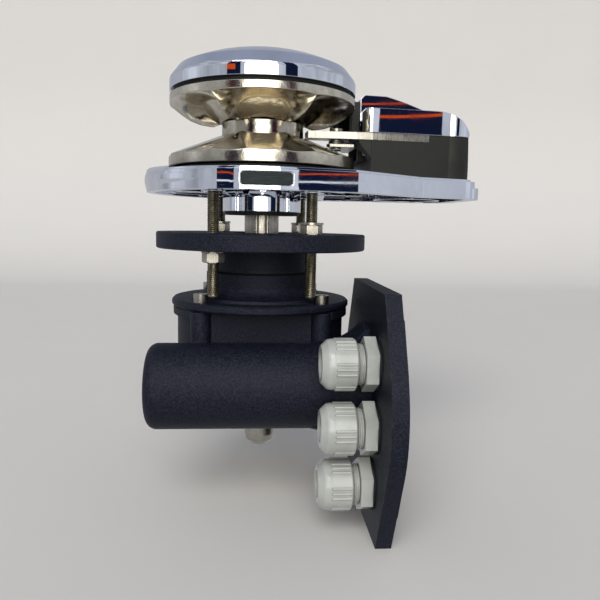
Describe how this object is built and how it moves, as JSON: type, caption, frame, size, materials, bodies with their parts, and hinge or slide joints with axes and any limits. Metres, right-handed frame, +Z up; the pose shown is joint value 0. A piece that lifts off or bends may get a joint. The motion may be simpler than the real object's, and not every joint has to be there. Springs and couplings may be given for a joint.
{
  "type": "anchor windlass",
  "caption": "Vertical electric anchor windlass: chrome base with gypsy, clutch cap and chain pipe above deck, worm gearbox with motor flange and cable glands below.",
  "frame": {"origin": "on the main shaft's axis, in the plane where the base plate meets the deck", "axes": "+Z up along the main shaft, +X toward the chain pipe and the motor flange, -Y toward the cable glands"},
  "size_m": [0.2439, 0.2207, 0.3156],
  "materials": {
    "chrome": "polished",
    "nickel": "cast, nickel plated",
    "stainless": "brushed",
    "zinc_steel": "plated thread",
    "powder_coat": "fine textured powder coat",
    "black_plastic": "matt",
    "grey_plastic": "satin gloss",
    "rubber": "matt",
    "label": "satin",
    "bronze": "machined",
    "steel": "ground",
    "iron": "laminated",
    "copper": "turned",
    "ferrite": "matt"
  },
  "bodies": {
    "housing": {"hub_bush": "bronze", "hub_seal": "rubber", "base_seal": "rubber", "upper_bearing": "steel", "lower_bearing": "steel", "output_seal": "rubber", "neck_gasket": "rubber", "base_plate": "chrome", "label_plate": "label", "deck_studs": "zinc_steel", "stud_washers": "stainless", "stud_nuts": "stainless", "deck_flange": "powder_coat", "gearbox_cover": "powder_coat", "gearbox_cover_screws": "stainless", "gearbox_gasket": "rubber", "gearbox_housing": "powder_coat", "worm_bearing_left": "steel", "worm_bearing_right": "steel", "motor_magnets": "ferrite", "motor_brushes": "copper", "brush_holder": "black_plastic", "motor_flange": "powder_coat", "flange_screws": "stainless", "terminal_cover": "powder_coat", "terminal_cover_screws": "stainless", "terminal_block": "black_plastic", "terminal_studs": "copper", "gland_bodies": "grey_plastic", "gland_nuts": "grey_plastic", "gland_seals": "rubber", "gland_washers": "rubber", "gland_lock_nuts": "grey_plastic", "chain_pipe_riser": "black_plastic", "chain_pipe_cover": "chrome", "riser_screws": "stainless", "stripper": "stainless", "stripper_screws": "stainless", "finger_pin": "stainless", "finger_spring": "steel"},
    "drive": {"main_shaft": "stainless", "lower_clutch_cone": "steel", "shaft_keys": "steel", "wheel_key": "steel", "worm_wheel": "bronze", "shaft_end_nut": "stainless"},
    "clutch": {"upper_clutch_cone": "steel"},
    "cap": {"clutch_cap": "chrome", "cap_seal": "rubber"},
    "gypsy_body": {"gypsy": "nickel"},
    "worm": {"worm_shaft": "steel", "motor_armature": "iron", "motor_commutator": "copper"},
    "finger": {"chain_finger": "stainless"}
  },
  "joints": [
    {"name": "shaft_spin", "type": "hinge", "parent": "housing", "child": "drive", "pos_m": [0, 0, 0], "axis": [0, 0, 1], "continuous": true},
    {"name": "worm_spin", "type": "hinge", "parent": "housing", "child": "worm", "pos_m": [0, -0.052, -0.1287], "axis": [1, 0, 0], "continuous": true},
    {"name": "gypsy_spin", "type": "hinge", "parent": "drive", "child": "gypsy_body", "pos_m": [0, 0, 0.045], "axis": [0, 0, 1], "continuous": true},
    {"name": "clutch_lift", "type": "slide", "parent": "drive", "child": "clutch", "axis": [0, 0, 1], "range_m": [0, 0.002]},
    {"name": "cap_turn", "type": "hinge", "parent": "clutch", "child": "cap", "pos_m": [0, 0, 0.08], "axis": [0, 0, 1], "range_deg": [0, 360]},
    {"name": "finger_swing", "type": "hinge", "parent": "housing", "child": "finger", "pos_m": [0.0535, -0.002, 0.0366], "axis": [0, 0, 1], "range_deg": [-8, 18], "stiffness_Nm_per_rad": 0.3}
  ],
  "couplings": [
    {"joint": "worm_spin", "follows": "shaft_spin", "ratio": -40},
    {"joint": "clutch_lift", "follows": "cap_turn", "m_per_rad": 0.000318}
  ]
}
